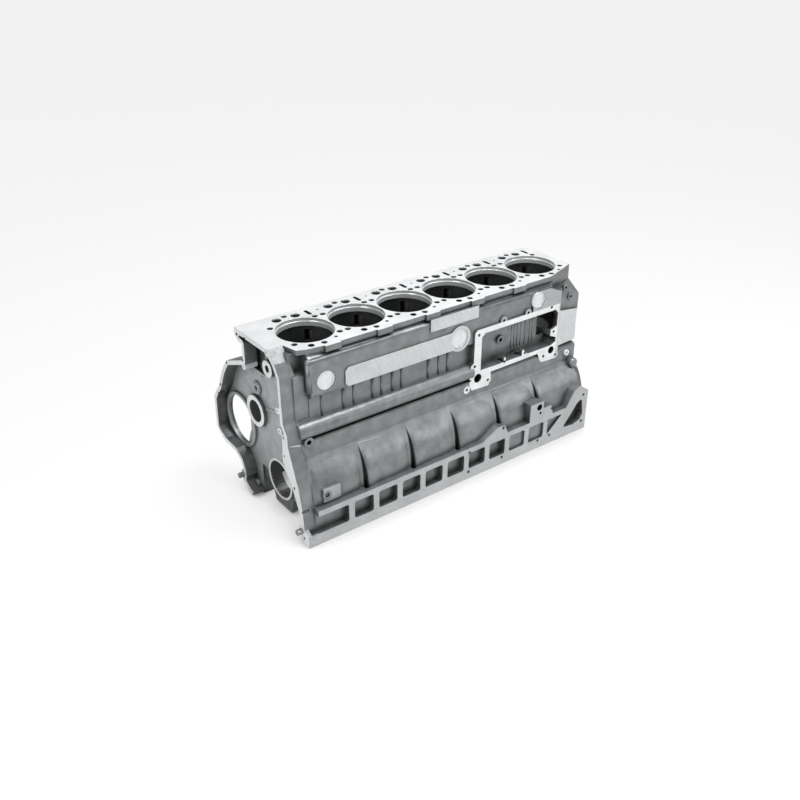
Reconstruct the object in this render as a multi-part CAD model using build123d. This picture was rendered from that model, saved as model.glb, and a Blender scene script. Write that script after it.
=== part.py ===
from build123d import *
import math
import os

# Engine block of an in-line six-cylinder wet-liner truck diesel, with its main bearing caps,
# core plugs and dowels. All sizes are in millimetres.
# X runs along the crankshaft from the gear end to the flywheel end, Y from the oil cooler side
# to the camshaft side, and Z up from the crankshaft axis to the deck.
# The origin is on the crankshaft axis, in the middle main bearing.
# Most round holes that repeat are drawn with flat sides, their corners on the true circle, so
# that a casting with so many of them stays light. The block's main bearing bores, the middle cap
# and the four outermost head bolt holes are true circles.

# Cylinders and overall reach
cylinder_count = 6
cylinder_pitch = 155.0
gear_end_reach = 132.0
flywheel_end_reach = 100.0
deck_height = 405.0
rail_depth = 95.0

# Liner seats and water jacket
liner_flange_radius = 75.3
liner_flange_depth = 9.0
liner_guide_radius = 72.5
liner_sides = 36
upper_deck_thickness = 21.0
jacket_radius = 79.0
jacket_height = 169.0
jacket_sides = 16
lower_deck_thickness = 30.0
liner_foot_radius = 70.0
liner_foot_sides = 20
coolant_port_width = 16.0
coolant_port_height = 32.0
coolant_port_offset = 47.0
coolant_port_drop = 33.0

# Deck plate
deck_near = 105.0
deck_far = 121.0
deck_slab_thickness = 13.0
deck_neck = 44.0
deck_neck_length = 42.0
deck_neck_flare = 10.0
deck_neck_setback = 16.0
deck_front_setback = 7.0
deck_corner_length = 116.0
deck_corner_depth = 41.0
deck_corner_height = 44.0
corner_slope_drop = 77.0
corner_slope_length = 48.0
deck_far_corner = 20.0
tab_length = 46.0
tab_offset = 13.0
tab_proud = 5.0
tab_height = 16.0

# Deck holes
head_bolt_radius = 7.0
head_bolt_depth = 60.0
head_bolt_x = 65.5
head_bolt_y = 57.5
cooler_side_bolt_y = 88.4
camshaft_side_bolt_y = 101.0
bolt_hole_sides = 8
pushrod_radius = 11.0
pushrod_spread = 27.5
pushrod_hole_sides = 10
tappet_height = 12.0

# Upper walls
near_wall = 112.0
far_wall = 118.0
front_wall_reach = 58.0
undercut_depth = 14.0
shoulder_drop = 28.0
shoulder_slope = 8.0
front_wall_near = 97.0
front_wall_waist = 75.0
front_shelf_drop = 59.0
recess_drop = 126.0
recess_depth = 13.0

# Oil gallery along the cooler side
gallery_radius = 24.0
gallery_height = 190.0
groove_top = 178.0
groove_height = 8.0
groove_depth = 12.0
groove_boss_radius = 13.0
groove_boss_x = -463.5

# Crankcase
crankcase_radius = 166.0
crankcase_wall = 10.0
bay_arc_steps = 6
shoulder_reach = 117.0
rib_proud = 7.0
rib_width = 22.0
rib_top = 112.0
web_thickness = 30.0
rod_slot = 80.0

# Sump rail
rail_reach = 190.0
rail_top = 5.0
rail_foot = 32.0
far_rail_thickness = 18.0
pocket_length = 60.0
pocket_height = 51.0
pocket_depth = 18.0
shallow_pocket_depth = 7.0
pocket_floor = 33.0
end_pocket_near = 36.0
end_pocket_far = 45.0
bracket_height = 62.0
bracket_length = 54.0
bracket_offset = 36.5
bracket_low = 37.0
bracket_slope = 32.0
bracket_tail = 42.0
ridge_height = 34.0
ridge_half = 12.0
ridge_near_slope = 70.0
ridge_far_slope = 26.0
end_bracket_peak = 36.0
end_bracket_neck = 53.0
end_bracket_inner = 62.0
end_bracket_length = 93.0

# Front mounting block
mount_block_length = 51.0
mount_block_height = 40.0
mount_block_bottom = 10.0
mount_block_reach = 172.0
mount_block_offset = -46.5
mount_hole_radius = 7.0
mount_hole_margin = 4.0

# Camshaft tunnel
camshaft_y = 90.8
camshaft_z = 169.0
camshaft_bore_radius = 30.5
camshaft_wall = 20.0
camshaft_ring_radius = 44.5
camshaft_ring_proud = 10.0
end_plug_thickness = 8.0

# Main bearings
main_bore_radius = 52.0
cap_reach = 94.0
cap_depth = 88.0
cap_thickness = 28.0
cap_shoulder = 40.0
cap_crown = 40.0
cap_taper = 14.0
cap_bore_sides = 36
collar_width = 8.0
fit_clearance = 0.05

# Gear case
gear_case_depth = 35.0
gear_case_floor = 7.0
gear_case_rim = 12.0
gear_opening_radius = 70.0
gear_opening_y = 188.0
gear_opening_z = 98.0
pump_ring_radius = 23.0
pump_ring_proud = 11.0
pump_hole_radius = 10.0
pump_ring_y = 9.0
pump_ring_drop = 80.0
front_cavity_depth = 13.0
front_cavity_drop = 32.0
front_cavity_height = 83.0
sump_mouth_near = -155.0
sump_mouth_far = 86.0

# Oil cooler flange and the machined pads on the same side
flange_proud = 6.0
flange_lug_radius = 12.0
flange_bolt_radius = 4.5
flange_bolt_depth = 25.0
cooler_depth = 33.0
cooler_offset = 16.0
cooler_drop = 159.0
oil_ports = ((-155.0, -77.0, 14.0), (134.0, -72.0, 12.0))
inlet_start = -40.0
inlet_end = 11.0
inlet_drop = 107.0
inlet_height = 78.0
pad_proud = 3.0
long_pad_length = 371.0
long_pad_height = 53.0
long_pad_drop = 29.0
long_pad_corner = 9.0
upper_pad_length = 166.0
upper_pad_offset = -19.0
upper_pad_drop = 50.0

# Core plugs, from the gear end to the flywheel end
plug_radii = (26.0, 28.5, 25.0)
plug_drops = (90.0, 96.0, 55.0)
plug_offsets = (-14.0, -53.0, 82.0)
plug_thickness = 6.0
plug_recess = 3.0
plug_ring = 9.0
plug_sides = 24
core_hole_reach = 60.0

# Dowels in the gear end face
dowel_radius = 8.0
dowel_length = 30.0
dowel_depth = 15.0
dowel_boss = 7.0
dowel_spots = ((-158.0, -58.0), (141.0, -44.0))

# Flywheel housing bolts
housing_bolt_radius = 6.0
housing_bolt_depth = 28.0
housing_bolt_y = 120.0
housing_bolt_low = -60.0
housing_bolt_high = 90.0

# Places worked out from the sizes above
first_cylinder = -(cylinder_count - 1) / 2 * cylinder_pitch
last_cylinder = -first_cylinder
gear_face = first_cylinder - gear_end_reach
flywheel_face = last_cylinder + flywheel_end_reach
floor_face = gear_face + gear_case_depth
floor_back = floor_face + gear_case_floor
front_wall = first_cylinder - front_wall_reach
slab_bottom = deck_height - deck_slab_thickness
jacket_top = deck_height - upper_deck_thickness
jacket_floor = jacket_top - jacket_height
lower_deck_bottom = jacket_floor - lower_deck_thickness
front_wall_shelf = deck_height - front_shelf_drop
recess_top = deck_height - recess_drop
pump_ring_z = deck_height - pump_ring_drop
front_cavity_top = deck_height - front_cavity_drop
cylinders = [first_cylinder + i * cylinder_pitch for i in range(cylinder_count)]
bearings = [first_cylinder + (i - 0.5) * cylinder_pitch for i in range(cylinder_count + 1)]
cooler_x = cylinders[4] + cooler_offset
cooler_height = deck_height - cooler_drop
flange_face = -near_wall - flange_proud
plug_places = tuple(cylinders[i] + plug_offsets[n] for n, i in enumerate((0, 3, 4)))
plug_heights = tuple(deck_height - drop for drop in plug_drops)
plug_faces = (-near_wall, -near_wall - pad_proud, flange_face)


def prism_x(points, start, end):
    """A section drawn in Y and Z, run along X from start to end."""
    face = make_face(Polyline(*points, close=True))
    return Pos(start, 0, 0) * extrude(Plane.YZ * face, amount=end - start)


def prism_y(points, start, end):
    """A side view drawn in X and Z, run along Y from start up to end."""
    face = make_face(Polyline(*points, close=True))
    return Pos(0, end, 0) * extrude(Plane.XZ * face, amount=end - start)


def prism_z(points, start, end):
    """A plan drawn in X and Y, run along Z from start to end."""
    face = make_face(Polyline(*points, close=True))
    return Pos(0, 0, start) * extrude(face, amount=end - start)


def box(x, y, z):
    """A box between the two values given for each axis."""
    return Pos(sum(x) / 2, sum(y) / 2, sum(z) / 2) * Box(x[1] - x[0], y[1] - y[0], z[1] - z[0])


def rod_x(radius, start, end, y=0.0, z=0.0):
    return Pos((start + end) / 2, y, z) * Rot(0, 90, 0) * Cylinder(radius, end - start)


def flat_rod_x(radius, sides, start, end, y, z):
    """A many-sided rod along X, for round features that repeat."""
    face = Plane.YZ * RegularPolygon(radius, sides)
    return Pos(start, y, z) * extrude(face, amount=end - start)


def flat_rod_y(radius, sides, start, end, x, z):
    face = Plane.XZ * RegularPolygon(radius, sides)
    return Pos(x, end, z) * extrude(face, amount=end - start)


def flat_rod_z(radius, sides, bottom, top, x, y):
    return Pos(x, y, bottom) * extrude(RegularPolygon(radius, sides), amount=top - bottom)


def deck_slab():
    """The machined top plate, with its near tabs and cut corners."""
    neck_end = gear_face + deck_neck_length
    outline = [
        (gear_face, -deck_neck),
        (neck_end, -deck_neck),
        (neck_end + deck_neck_flare, -deck_near + deck_neck_setback),
        (front_wall, -deck_near + deck_front_setback),
        (first_cylinder, -deck_near),
        (flywheel_face - deck_corner_length, -deck_near),
        (flywheel_face, -deck_near + deck_corner_depth),
        (flywheel_face, deck_far - deck_far_corner),
        (flywheel_face - deck_far_corner, deck_far),
        (gear_face, deck_far),
    ]
    slab = prism_z(outline, slab_bottom, deck_height)
    for x in cylinders[:-1]:
        tab = (x + tab_offset - tab_length / 2, x + tab_offset + tab_length / 2)
        reach = (-deck_near - tab_proud, -deck_near + tab_proud)
        slab += box(tab, reach, (deck_height - tab_height, deck_height))
    return slab


def upper_walls():
    """The walls round the water jacket, from the deck down into the crankcase."""
    bottom = crankcase_radius / 2
    shoulder = deck_height - shoulder_drop
    section = [
        (-near_wall + undercut_depth, slab_bottom + 1),
        (-near_wall + undercut_depth, shoulder + shoulder_slope),
        (-near_wall, shoulder),
        (-near_wall, recess_top),
        (-near_wall + recess_depth, recess_top - shoulder_slope),
        (-near_wall + recess_depth, bottom),
        (far_wall, bottom),
        (far_wall, slab_bottom + 1),
    ]
    walls = prism_x(section, front_wall, flywheel_face)
    corner = [
        (flywheel_face - deck_corner_length, -deck_near),
        (flywheel_face - deck_corner_length, -rail_reach),
        (flywheel_face + 1, -rail_reach),
        (flywheel_face + 1, -deck_near + deck_corner_depth),
    ]
    corner_bottom = deck_height - deck_corner_height
    walls -= prism_z(corner, corner_bottom, deck_height)
    slope = [
        (-near_wall - 1, deck_height - corner_slope_drop),
        (-deck_near + deck_corner_depth, corner_bottom + 1),
        (-near_wall - 1, corner_bottom + 1),
    ]
    walls -= prism_x(slope, flywheel_face - corner_slope_length, flywheel_face + 1)
    front = [
        (-front_wall_waist, slab_bottom + 1),
        (-front_wall_waist, front_wall_shelf),
        (-front_wall_near, front_wall_shelf - shoulder_slope),
        (-front_wall_near, bottom),
        (far_wall - gear_case_rim, bottom),
        (far_wall - gear_case_rim, slab_bottom + 1),
    ]
    return walls + prism_x(front, floor_face, front_wall + 1)


def barrel(radius, start, end):
    """The round part of the crankcase, on both sides, down to the sump rail."""
    near = ThreePointArc((-radius, 0), (-radius * 0.8, radius * 0.6), (0, radius))
    far = ThreePointArc((0, radius), (radius * 0.8, radius * 0.6), (radius, 0))
    legs = Polyline((radius, 0), (radius, -rail_depth), (-radius, -rail_depth), (-radius, 0))
    return Pos(start, 0, 0) * extrude(Plane.YZ * make_face([near, far, legs]), amount=end - start)


def crankcase():
    """Shoulders over the crankshaft, barrels with a near rib at each bearing, and the camshaft bulge."""
    turn = (crankcase_radius**2 - shoulder_reach**2) ** 0.5
    ledge = groove_top - groove_height
    tunnel = camshaft_bore_radius + camshaft_wall
    camshaft_out = camshaft_y + tunnel
    far_turn = (crankcase_radius**2 - camshaft_out**2) ** 0.5
    shoulders = [
        (-shoulder_reach + groove_height, ledge),
        (-shoulder_reach, ledge - groove_height),
        (-shoulder_reach, turn),
        (0, 0),
        (camshaft_out, far_turn),
        (camshaft_out, camshaft_z + tunnel / 2),
        (far_wall - 1, camshaft_z + tunnel),
        (-near_wall + groove_depth, camshaft_z + tunnel),
        (-near_wall + groove_depth, ledge),
    ]
    case = barrel(crankcase_radius, floor_face, flywheel_face)
    case += prism_x(shoulders, floor_face, flywheel_face)
    ribs = barrel(crankcase_radius + rib_proud, 0, rib_width)
    ribs &= box((-1, rib_width + 1), (-rail_reach, 0), (-rail_depth, rib_top))
    for x in bearings[1:-1]:
        case += Pos(x - rib_width / 2, 0, 0) * ribs
    return case


def oil_gallery():
    """The half-round ledge that carries the main oil gallery along the cooler side."""
    centre = -near_wall + recess_depth
    ledge = rod_x(gallery_radius, floor_face, cylinders[3], centre, gallery_height)
    underside = [
        (centre - gallery_radius - 1, groove_top),
        (centre - gallery_radius + groove_depth, groove_top),
        (centre - gallery_radius + groove_depth, groove_top - gallery_radius),
        (centre - gallery_radius - 1, groove_top - gallery_radius),
    ]
    boss = flat_rod_y(groove_boss_radius, pushrod_hole_sides, -shoulder_reach - pad_proud, centre,
                      groove_boss_x, groove_top - groove_boss_radius)
    return ledge - prism_x(underside, gear_face, flywheel_face) + boss


def sump_rail():
    """The two long rails that the sump bolts to, with the brackets on the near one."""
    start = gear_face + rail_foot
    bracket = cylinders[4] + bracket_offset
    bracket_start = bracket - bracket_length / 2
    bracket_end = bracket + bracket_length / 2
    ridge = cylinders[3] + cylinder_pitch / 3
    top = [
        (start, -rail_depth),
        (flywheel_face, -rail_depth),
        (flywheel_face, bracket_low),
        (flywheel_face - end_bracket_peak, bracket_height),
        (flywheel_face - end_bracket_inner, end_bracket_neck),
        (flywheel_face - end_bracket_length, rail_top),
        (bracket_end + bracket_tail, rail_top),
        (bracket_end + bracket_slope, bracket_low),
        (bracket_end, bracket_low),
        (bracket_end, bracket_height),
        (bracket_start, bracket_height),
        (bracket_start, rail_top),
        (ridge + ridge_far_slope, rail_top),
        (ridge + ridge_half, ridge_height),
        (ridge - ridge_half, ridge_height),
        (ridge - ridge_near_slope, rail_top),
        (start, rail_top),
    ]
    rail = prism_y(top, -rail_reach, -crankcase_radius + crankcase_wall)
    far = (crankcase_radius - crankcase_wall, rail_reach)
    return rail + box((start, flywheel_face), far, (-rail_depth, -rail_depth + far_rail_thickness))


def mount_block():
    """The block on the near crankcase wall that the front engine mounting bolts to."""
    middle = first_cylinder + mount_block_offset
    length = (middle - mount_block_length / 2, middle + mount_block_length / 2)
    levels = (mount_block_bottom, mount_block_bottom + mount_block_height)
    block = box(length, (-mount_block_reach, -crankcase_radius / 2), levels)
    hole_x = length[0] + mount_hole_radius + mount_hole_margin
    height = sum(levels) / 2
    return block - flat_rod_y(mount_hole_radius, bolt_hole_sides, -mount_block_reach - 1,
                              -mount_block_reach + mount_block_height / 2, hole_x, height)


def rail_pockets():
    """Ladder pockets in the near rail, two to each cylinder, with plainer ones near the flywheel end."""
    half = pocket_length / 2
    bottom = -rail_depth + pocket_floor
    top = bottom + pocket_height
    outside = -rail_reach - 1
    middles = [x + side * cylinder_pitch / 4 for x in cylinders for side in (-1, 1)]
    cuts = [box((gear_face + gear_case_rim, middles[0] + half), (outside, -rail_reach + pocket_depth), (bottom, top))]
    for x in middles[1:8]:
        cuts.append(box((x - half, x + half), (outside, -rail_reach + pocket_depth), (bottom, top)))
    for x in middles[8:10]:
        cuts.append(box((x - half, x + half), (outside, -rail_reach + shallow_pocket_depth), (bottom, top)))
    slant = [(middles[10] - half, bottom), (middles[10] + half, top), (middles[10] - half, top)]
    cuts.append(prism_y(slant, outside, -rail_reach + shallow_pocket_depth))
    deep = [
        (middles[11] - end_pocket_near, bottom),
        (middles[11] + end_pocket_far, bottom + pocket_height / 2),
        (middles[11] + half, top + pocket_height / 2),
    ]
    cuts.append(prism_y(deep, outside, -rail_reach + pocket_depth))
    return cuts


gear_outline = [
    (-deck_neck, deck_height),
    (-73, deck_height - 29),
    (-92, deck_height - 60),
    (-95, 222),
    (-112, 197),
    (-114, 150),
    (-133, 101),
    (-151, 73),
    (-167, 0),
    (-171, -50),
    (-rail_reach, -64),
    (-rail_reach, -rail_depth),
    (sump_mouth_far, -rail_depth),
    (113, -rail_depth + 10),
    (142, -66),
    (139, -28),
    (151, -4),
    (177, 12),
    (234, 16),
    (267, 30),
    (281, 45),
    (279, 140),
    (265, 161),
    (242, 189),
    (214, 246),
    (184, 286),
    (88, deck_height - 80),
    (88, deck_height - 34),
    (104, deck_height - 33),
    (deck_far, deck_height - 20),
    (deck_far, deck_height),
]


def gear_case():
    """The gear train housing at the gear end: a plate with a raised rim, a deep floor and its rings."""
    case = prism_x(gear_outline, gear_face, floor_back)
    inner = offset(make_face(Polyline(*gear_outline, close=True)), -gear_case_rim)
    case -= Pos(gear_face - 1, 0, 0) * extrude(Plane.YZ * inner, amount=gear_case_depth + 1)
    mouth = (sump_mouth_near, sump_mouth_far + gear_case_rim)
    case -= box((gear_face - 1, floor_face), mouth, (-rail_depth - 1, -rail_depth + gear_case_rim + 1))
    cheek = [
        (-105, 190),
        (-86, 180),
        (-84, 110),
        (-113, 72),
        (-153, -12),
        (-155, -rail_depth),
        (-rail_reach + 2, -rail_depth),
        (-rail_reach + 2, -66),
        (-169, -52),
        (-165, 0),
        (-149, 72),
    ]
    case += prism_x(cheek, gear_face, floor_face)
    for y, z in dowel_spots:
        case += flat_rod_x(dowel_radius + dowel_boss, pushrod_hole_sides, gear_face, floor_face, y, z)
    opening = (gear_opening_y, gear_opening_z)
    case -= flat_rod_x(gear_opening_radius, liner_sides, floor_face - 1, floor_back + 1, *opening)
    camshaft_ring = (camshaft_ring_radius, plug_sides, floor_face - camshaft_ring_proud, floor_face)
    case += flat_rod_x(*camshaft_ring, camshaft_y, camshaft_z)
    pump_ring = (pump_ring_radius, plug_sides, floor_face - pump_ring_proud, floor_face)
    return case + flat_rod_x(*pump_ring, pump_ring_y, pump_ring_z)


def front_openings():
    """The pump passage and the deep cavity in the gear case floor, under the deck."""
    depth = (floor_face - 1, floor_face + front_cavity_depth)
    inside = pump_ring_y + pump_ring_radius + 2
    cavity = box(depth, (inside, deck_far - 2 * gear_case_rim), (front_cavity_top - front_cavity_height, front_cavity_top))
    start = floor_face - pump_ring_proud - 1
    passage = flat_rod_x(pump_hole_radius, pushrod_hole_sides, start, depth[1], pump_ring_y, pump_ring_z)
    return [cavity, passage]


def bay_space(start, end):
    """The open space round one crank throw, with the slot for the connecting rod above it."""
    inner = crankcase_radius - crankcase_wall
    turn = math.acos(rod_slot / inner) / bay_arc_steps
    angles = [turn * step for step in range(bay_arc_steps + 1)]
    right = [(inner * math.cos(a), inner * math.sin(a)) for a in angles]
    right = [(inner, -rail_depth - 1), *right, (rod_slot, lower_deck_bottom)]
    left = [(-y, z) for y, z in reversed(right)]
    return prism_x(right + left, start, end)


def liner_seat(x):
    """The stepped hole for one wet liner: flange seat, guide, cast water jacket and foot."""
    ledge = deck_height - liner_flange_depth
    seat = flat_rod_z(liner_flange_radius, liner_sides, ledge, deck_height + 1, x, 0)
    seat += flat_rod_z(liner_guide_radius, liner_sides, jacket_top - 1, ledge, x, 0)
    seat += flat_rod_z(jacket_radius, jacket_sides, jacket_floor, jacket_top, x, 0)
    seat += flat_rod_z(liner_foot_radius, liner_foot_sides, lower_deck_bottom - 1, jacket_floor, x, 0)
    port = x + coolant_port_offset
    port_top = deck_height - coolant_port_drop
    wide = (port - coolant_port_width / 2, port + coolant_port_width / 2)
    outlet = far_wall + 1 if x == last_cylinder else camshaft_y - pushrod_radius
    return seat + box(wide, (jacket_radius / 2, outlet), (port_top - coolant_port_height, port_top))


def head_bolt_hole(x, y):
    """A blind hole for a head bolt, a true circle at the deck's four outermost bolts."""
    bottom = deck_height - head_bolt_depth
    top = deck_height + 1
    if abs(x) > last_cylinder:
        return Pos(x, y, (bottom + top) / 2) * Cylinder(head_bolt_radius, top - bottom)
    return flat_rod_z(head_bolt_radius, bolt_hole_sides, bottom, top, x, y)


def deck_holes(x):
    """Head bolt threads and the two pushrod bores that belong to one cylinder."""
    spots = [(sx * head_bolt_x, sy * head_bolt_y) for sx in (-1, 1) for sy in (-1, 1)]
    spots += [(0, -cooler_side_bolt_y), (0, camshaft_side_bolt_y)]
    holes = [head_bolt_hole(x + sx, sy) for sx, sy in spots]
    tappet = camshaft_z + camshaft_bore_radius + tappet_height
    for side in (-1, 1):
        place = (x + side * pushrod_spread, camshaft_y)
        holes.append(flat_rod_z(pushrod_radius, pushrod_hole_sides, tappet, deck_height + 1, *place))
    return holes


def cap_seats():
    """The register that the main bearing caps sit in, and the bearing bore that runs through it."""
    reach = cap_reach + fit_clearance
    register = box((floor_face - 1, flywheel_face + 1), (-reach, reach), (-rail_depth - 1, 0))
    return register + rod_x(main_bore_radius, floor_face - 1, flywheel_face + 1)


flange_bolts = [
    (-157, 56),
    (-168, -37),
    (-66, 76),
    (28, 75),
    (122, 68),
    (139, -13),
    (-54, -55),
    (25, -50),
    (154, -93),
    (-116, -94),
    (104, -84),
    (-194, -102),
]


def cooler_flange():
    """The machined gasket face of the oil cooler, drawn about the cooler's middle."""
    outline = [
        (-172, 64),
        (-172, -32),
        (-182, -32),
        (-186, -90),
        (-176, -110),
        (-114, -112),
        (-106, -98),
        (-106, -71),
        (78, -69),
        (88, -92),
        (96, -102),
        (148, -104),
        (162, -96),
        (164, -66),
        (flywheel_face - cooler_x - 6, -62),
        (flywheel_face - cooler_x - 8, 38),
        (158, 48),
        (158, 110),
        (110, 130),
        (66, 130),
        (48, 114),
        (46, 72),
        (-164, 72),
    ]
    back = -near_wall + recess_depth + 1
    place = Pos(cooler_x, 0, cooler_height)
    flange = prism_y(outline, flange_face, back)
    for x, z in flange_bolts:
        flange += flat_rod_y(flange_lug_radius, pushrod_hole_sides, flange_face, back, x, z)
    return place * flange


def cooler_space():
    """The open chamber behind the flange, its bolt holes, oil ports and way into the water jacket."""
    outline = [
        (-146, -55),
        (-146, 46),
        (-134, 56),
        (140, 56),
        (151, 44),
        (151, 2),
        (126, -6),
        (126, -24),
        (150, -34),
        (150, -48),
        (132, -56),
        (36, -56),
        (18, -38),
        (-40, -54),
        (-54, -40),
        (-70, -56),
    ]
    chamber = prism_y(outline, flange_face - 1, flange_face + cooler_depth)
    for x, z in flange_bolts:
        end = flange_face + flange_bolt_depth
        chamber += flat_rod_y(flange_bolt_radius, bolt_hole_sides, flange_face - 1, end, x, z)
    for x, z, radius in oil_ports:
        end = flange_face + cooler_depth
        chamber += flat_rod_y(radius, pushrod_hole_sides, flange_face - 1, end, x, z)
    chamber = Pos(cooler_x, 0, cooler_height) * chamber
    inlet = (last_cylinder + inlet_start, last_cylinder + inlet_end)
    through = (flange_face + cooler_depth - 1, -jacket_radius + web_thickness / 2)
    inlet_top = deck_height - inlet_drop
    return chamber + box(inlet, through, (inlet_top - inlet_height, inlet_top))


def machined_pads():
    """The long pad and the upper pad on the near wall, and the ring round the middle core plug."""
    back = -near_wall + recess_depth + 1
    face = -near_wall - pad_proud
    end = plug_places[1]
    start = end - long_pad_length
    low = plug_heights[1] - long_pad_drop
    high = low + long_pad_height
    long_pad = [
        (end, low),
        (end, high),
        (start + long_pad_corner, high),
        (start, high - long_pad_corner),
        (start, low + long_pad_corner),
        (start + long_pad_corner, low),
    ]
    pads = prism_y(long_pad, face, back)
    pads += flat_rod_y(plug_radii[1] + plug_ring, plug_sides, face, back, end, plug_heights[1])
    middle = end + upper_pad_offset
    upper = (middle - upper_pad_length / 2, middle + upper_pad_length / 2)
    return pads + box(upper, (face, back), (deck_height - upper_pad_drop, slab_bottom - 2))


def core_holes():
    """Round holes through the near wall into the water jacket, which the core plugs close."""
    return [
        flat_rod_y(radius + fit_clearance, plug_sides, face - 1, -core_hole_reach, x, z)
        for radius, face, x, z in zip(plug_radii, plug_faces, plug_places, plug_heights)
    ]


def core_plug(number):
    face = plug_faces[number] + plug_recess
    place = (plug_places[number], plug_heights[number])
    return flat_rod_y(plug_radii[number], plug_sides, face, face + plug_thickness, *place)


def dowel_holes():
    radius = dowel_radius + fit_clearance
    end = gear_face + dowel_depth
    return [flat_rod_x(radius, pushrod_hole_sides, gear_face - 1, end, y, z) for y, z in dowel_spots]


def dowels():
    start = gear_face + dowel_depth - dowel_length
    end = gear_face + dowel_depth
    return [flat_rod_x(dowel_radius, pushrod_hole_sides, start, end, y, z) for y, z in dowel_spots]


def housing_holes():
    """Threads in the flywheel end face for the flywheel housing."""
    start = flywheel_face - housing_bolt_depth
    spots = [(side * housing_bolt_y, z) for side in (-1, 1) for z in (housing_bolt_low, housing_bolt_high)]
    return [flat_rod_x(housing_bolt_radius, bolt_hole_sides, start, flywheel_face + 1, y, z) for y, z in spots]


def cylinder_block():
    block = deck_slab() + upper_walls() + crankcase() + oil_gallery() + sump_rail() + mount_block()
    block += gear_case()
    block += cooler_flange() + machined_pads()
    for start, end in zip(bearings[:-1], bearings[1:]):
        block -= bay_space(start + web_thickness / 2, end - web_thickness / 2)
    for x in cylinders:
        block -= liner_seat(x)
        block -= deck_holes(x)
    block -= flat_rod_x(camshaft_bore_radius, plug_sides, gear_face, flywheel_face + 1, camshaft_y, camshaft_z)
    block -= cap_seats()
    block -= rail_pockets()
    block -= cooler_space()
    block -= core_holes()
    block -= front_openings()
    block -= dowel_holes()
    block -= housing_holes()
    return block


def front_collar():
    """The half ring on the first cap, which carries the bore forward to the gear case floor."""
    ring = flat_rod_x(main_bore_radius + collar_width, cap_bore_sides, floor_face, bearings[0], 0, 0)
    return ring & box((floor_face - 1, bearings[0] + 1), (-cap_reach, cap_reach), (-cap_depth, 0))


def main_bearing_cap(x):
    """One cap. The middle bore is a true circle, and the flats of the others clear a journal."""
    crown = cap_crown + cap_taper
    outline = [
        (-cap_reach, 0),
        (-cap_reach, -cap_shoulder),
        (-crown, -cap_shoulder),
        (-cap_crown, -cap_depth),
        (cap_crown, -cap_depth),
        (crown, -cap_shoulder),
        (cap_reach, -cap_shoulder),
        (cap_reach, 0),
    ]
    half = cap_thickness / 2
    cap = prism_x(outline, x - half, x + half)
    if x == bearings[0]:
        cap += front_collar()
    if x == bearings[cylinder_count // 2]:
        return cap - rod_x(main_bore_radius, x - half - 1, x + half + 1)
    across_corners = main_bore_radius / math.cos(math.pi / cap_bore_sides)
    return cap - flat_rod_x(across_corners, cap_bore_sides, floor_face - 1, flywheel_face, 0, 0)


def camshaft_end_plug():
    """The pressed plate that closes the camshaft tunnel at the flywheel end."""
    radius = camshaft_bore_radius - fit_clearance
    start = flywheel_face - end_plug_thickness - plug_recess
    return flat_rod_x(radius, plug_sides, start, start + end_plug_thickness, camshaft_y, camshaft_z)


def main():
    os.makedirs("parts", exist_ok=True)
    pieces = {"cylinder_block": cylinder_block()}
    for number, x in enumerate(bearings, start=1):
        pieces[f"main_bearing_cap_{number}"] = main_bearing_cap(x)
    for number, name in enumerate(("front", "middle", "rear")):
        pieces[f"core_plug_{name}"] = core_plug(number)
    pieces["camshaft_end_plug"] = camshaft_end_plug()
    pieces["gear_case_dowels"] = Compound(dowels())
    for name, piece in pieces.items():
        export_step(piece, f"parts/{name}.step")


main()
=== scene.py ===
# %% [markdown]
# # Dressing a truck engine block
# The solids of this block already have its true size and its main forms: the deck with six open
# bores, the ribbed crankcase, the cooler flange, the gear case and the bearing caps. What they lack
# is what a foundry and a milling machine leave behind: rough cast skin, bright cut faces, small
# drilled holes, bosses and bolts. This lesson adds those, without moving or resizing anything.

# %% Load the frame
import math
import bpy
import bmesh
from mathutils import Matrix, Vector


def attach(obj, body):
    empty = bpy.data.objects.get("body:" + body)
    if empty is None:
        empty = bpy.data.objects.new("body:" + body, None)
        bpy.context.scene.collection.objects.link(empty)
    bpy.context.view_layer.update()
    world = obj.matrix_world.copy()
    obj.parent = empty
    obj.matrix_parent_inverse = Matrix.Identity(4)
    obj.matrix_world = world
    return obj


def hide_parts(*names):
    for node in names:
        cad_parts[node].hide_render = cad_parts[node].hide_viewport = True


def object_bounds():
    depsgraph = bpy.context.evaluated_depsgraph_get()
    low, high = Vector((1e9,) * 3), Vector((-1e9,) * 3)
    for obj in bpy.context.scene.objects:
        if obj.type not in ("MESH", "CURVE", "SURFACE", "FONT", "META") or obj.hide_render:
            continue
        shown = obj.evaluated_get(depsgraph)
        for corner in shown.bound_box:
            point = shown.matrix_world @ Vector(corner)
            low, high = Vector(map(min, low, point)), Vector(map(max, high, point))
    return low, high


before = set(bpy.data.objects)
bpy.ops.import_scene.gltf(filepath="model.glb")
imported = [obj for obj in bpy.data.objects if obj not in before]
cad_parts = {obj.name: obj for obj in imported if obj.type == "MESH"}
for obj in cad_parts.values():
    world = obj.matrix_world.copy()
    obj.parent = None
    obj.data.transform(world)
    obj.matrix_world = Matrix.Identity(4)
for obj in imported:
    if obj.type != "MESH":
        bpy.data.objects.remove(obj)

cad_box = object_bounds()
low, high = cad_box
print("CAD box, metres:", [round(v, 3) for v in low], [round(v, 3) for v in high])

# %% [markdown]
# ## Sizes to work from
# Every new piece is placed from the same few sizes that drive the casting: the cylinder pitch, the
# deck height, and the planes of the machined faces. The deck and the floor are the top and bottom of
# the solids' box. The others are written once here, in metres, because Blender works in metres.
# Smaller sizes are written in millimetres, as on a drawing, and one helper turns such a place into
# metres.

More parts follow.
